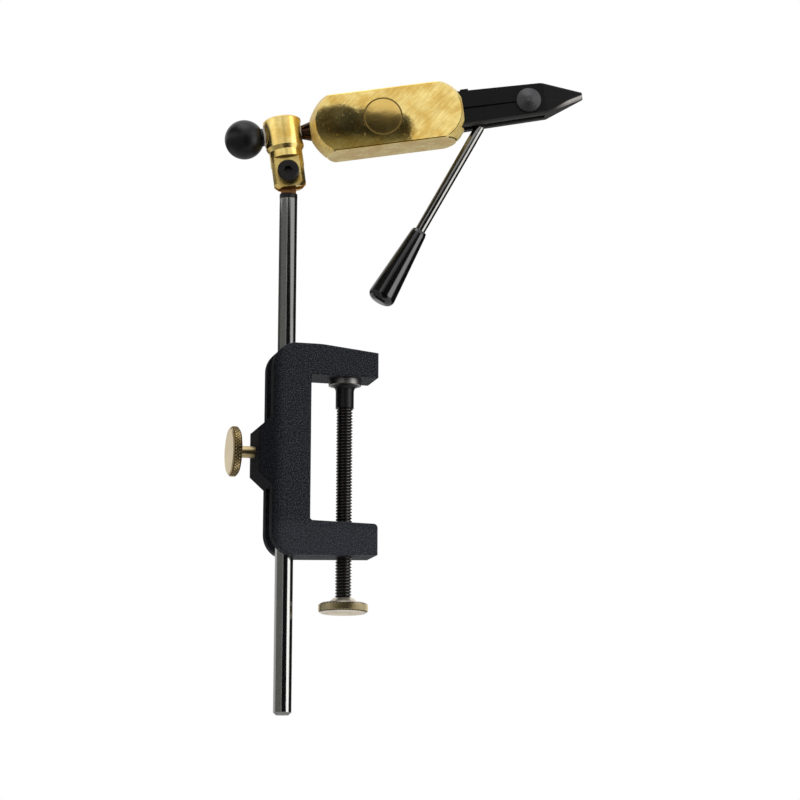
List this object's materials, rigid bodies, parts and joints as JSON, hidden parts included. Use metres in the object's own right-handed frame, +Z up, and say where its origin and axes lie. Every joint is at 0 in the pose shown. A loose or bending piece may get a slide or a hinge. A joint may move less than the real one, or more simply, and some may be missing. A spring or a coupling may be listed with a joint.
{
  "type": "fly tying vise",
  "caption": "Table-clamp fly tying vise: a C-clamp carries a sliding post with a tilting, turning head whose spring jaws a squeezed lever opens.",
  "frame": {"origin": "clamping seat: the point of the upper arm's underside on the clamp screw's axis", "axes": "+Z up along the post and the clamp screw, +X the way the clamp's arms and the jaws point, +Y to the far side"},
  "size_m": [0.1863, 0.0574, 0.3364],
  "materials": {
    "wrinkle_coat": "fine wrinkle powder coat",
    "pad_metal": "blackened, bright rim",
    "black_screw": "black oxide",
    "brass_knob": "turned, satin, diamond knurl on the rim",
    "shoe_plastic": "plain moulded",
    "dark_steel": "dark polish",
    "dark_ring": "black oxide",
    "brass_stud": "milled, bright",
    "gold_polish": "polished, lacquered",
    "pale_bush": "pale bearing plastic",
    "black_ball": "satin moulded",
    "disc_metal": "plain satin disc",
    "black_jaw": "matte black oxide",
    "anvil_steel": "turned, dark",
    "pin_steel": "ground",
    "black_grip": "gloss moulded"
  },
  "bodies": {
    "clamp": {"clamp_frame": "wrinkle_coat"},
    "pad": {"clamp_pad": "pad_metal"},
    "screw": {"clamp_screw": "black_screw", "clamp_knob": "brass_knob"},
    "shoe": {"lock_shoe": "shoe_plastic"},
    "lock": {"lock_screw": "brass_knob"},
    "post": {"post": "dark_steel", "stud_ring": "dark_ring"},
    "stud": {"pivot_stud": "brass_stud"},
    "knuckle": {"knuckle": "gold_polish", "tilt_screw": "black_screw", "rear_bush": "pale_bush", "front_bush": "pale_bush"},
    "head": {"head_spindle": "dark_steel", "ball_knob": "black_ball", "head_block": "gold_polish", "face_disc": "disc_metal", "spindle_grub": "black_screw", "jaw_dowels": "pin_steel", "jaw_spacer": "black_jaw", "lever_pin": "pin_steel"},
    "near_jaw": {"near_jaw": "black_jaw", "near_anvil": "anvil_steel"},
    "far_jaw": {"far_jaw": "black_jaw", "far_anvil": "anvil_steel"},
    "lever": {"lever_cam": "pin_steel", "lever_rod": "dark_steel", "rod_rivet": "pin_steel", "lever_grip": "black_grip"}
  },
  "joints": [
    {"name": "pad_travel", "type": "slide", "parent": "clamp", "child": "pad", "axis": [0, 0, 1], "range_m": [-0.058, 0]},
    {"name": "screw_turn", "type": "hinge", "parent": "pad", "child": "screw", "pos_m": [0, 0, -0.06], "axis": [0, 0, 1], "range_deg": [-14915.29, 1]},
    {"name": "shoe_travel", "type": "slide", "parent": "clamp", "child": "shoe", "axis": [-1, 0, 0], "range_m": [0, 0.004]},
    {"name": "lock_turn", "type": "hinge", "parent": "shoe", "child": "lock", "pos_m": [-0.05, 0, -0.0409], "axis": [-1, 0, 0], "range_deg": [-1, 1134.86]},
    {"name": "post_height", "type": "slide", "parent": "clamp", "child": "post", "axis": [0, 0, 1], "range_m": [-0.005, 0.075]},
    {"name": "head_swivel", "type": "hinge", "parent": "post", "child": "stud", "pos_m": [-0.0316, 0, 0.0962], "axis": [0, 0, 1], "continuous": true},
    {"name": "head_tilt", "type": "hinge", "parent": "stud", "child": "knuckle", "pos_m": [-0.0316, 0, 0.1096], "axis": [-0.2419, -0.9703, 0], "range_deg": [-15, 72]},
    {"name": "head_rotation", "type": "hinge", "parent": "knuckle", "child": "head", "pos_m": [-0.03464, 0.00076, 0.13188], "axis": [0.9609, -0.2396, 0.1392], "continuous": true},
    {"name": "lever_squeeze", "type": "hinge", "parent": "head", "child": "lever", "pos_m": [0.07044, -0.02544, 0.14306], "axis": [0.2419, 0.9703, 0], "range_deg": [0, 10], "stiffness_Nm_per_rad": 1.2, "springref_deg": -5.73},
    {"name": "near_jaw_open", "type": "hinge", "parent": "head", "child": "near_jaw", "pos_m": [0.0473, -0.02467, 0.14392], "axis": [0.135, -0.0337, -0.9903], "range_deg": [0, 1.2]},
    {"name": "far_jaw_open", "type": "hinge", "parent": "head", "child": "far_jaw", "pos_m": [0.04965, -0.01526, 0.14392], "axis": [-0.135, 0.0337, 0.9903], "range_deg": [0, 1.2]}
  ],
  "couplings": [
    {"joint": "screw_turn", "follows": "pad_travel", "rad_per_m": 4488},
    {"joint": "lock_turn", "follows": "shoe_travel", "rad_per_m": 4947.4},
    {"joint": "near_jaw_open", "follows": "lever_squeeze", "ratio": 0.12},
    {"joint": "far_jaw_open", "follows": "lever_squeeze", "ratio": 0.12}
  ]
}
